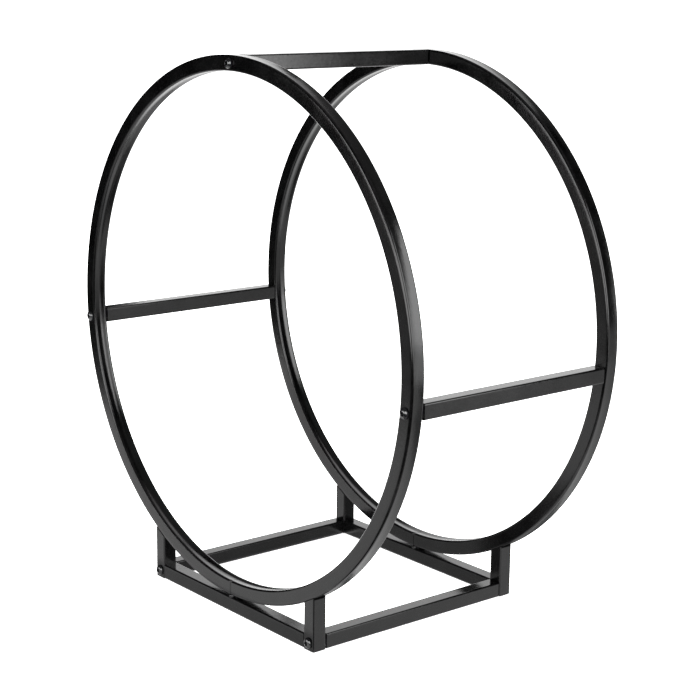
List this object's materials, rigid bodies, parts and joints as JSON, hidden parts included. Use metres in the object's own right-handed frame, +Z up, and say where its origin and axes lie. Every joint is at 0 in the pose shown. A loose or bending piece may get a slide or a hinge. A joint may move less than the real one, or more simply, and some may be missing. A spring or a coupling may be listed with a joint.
{
  "type": "firewood log rack",
  "caption": "Free-standing round log rack: two rings of square steel tube on low bases, joined by straight bolted bars, that hold stacked firewood.",
  "frame": {"origin": "on the floor under the middle of the rack, at the bottom centre of its bounding box", "axes": "+X across the rings to the right, +Y from the front frame to the rear frame, +Z up"},
  "size_m": [0.7, 0.3486, 0.723],
  "materials": {
    "black_powder_coat": "satin black powder coat on mild steel, fine texture",
    "black_bolt": "black oxide on steel, slightly polished",
    "plated_block": "plain zinc-plated steel, out of sight in the bar ends"
  },
  "bodies": {
    "root": {"base_left_bar": "black_powder_coat", "base_left_bar_front_end_block": "plated_block", "base_left_bar_rear_end_block": "plated_block", "base_left_front_bolt": "black_bolt", "base_left_rear_bolt": "black_bolt", "base_right_bar": "black_powder_coat", "base_right_bar_front_end_block": "plated_block", "base_right_bar_rear_end_block": "plated_block", "base_right_front_bolt": "black_bolt", "base_right_rear_bolt": "black_bolt", "front_base_bar": "black_powder_coat", "front_left_upright": "black_powder_coat", "front_right_upright": "black_powder_coat", "front_ring": "black_powder_coat", "left_bar": "black_powder_coat", "left_bar_front_end_block": "plated_block", "left_bar_rear_end_block": "plated_block", "left_front_bolt": "black_bolt", "left_rear_bolt": "black_bolt", "rear_base_bar": "black_powder_coat", "rear_left_upright": "black_powder_coat", "rear_right_upright": "black_powder_coat", "rear_ring": "black_powder_coat", "right_bar": "black_powder_coat", "right_bar_front_end_block": "plated_block", "right_bar_rear_end_block": "plated_block", "right_front_bolt": "black_bolt", "right_rear_bolt": "black_bolt", "top_bar": "black_powder_coat", "top_bar_front_end_block": "plated_block", "top_bar_rear_end_block": "plated_block", "top_front_bolt": "black_bolt", "top_rear_bolt": "black_bolt"}
  },
  "joints": []
}
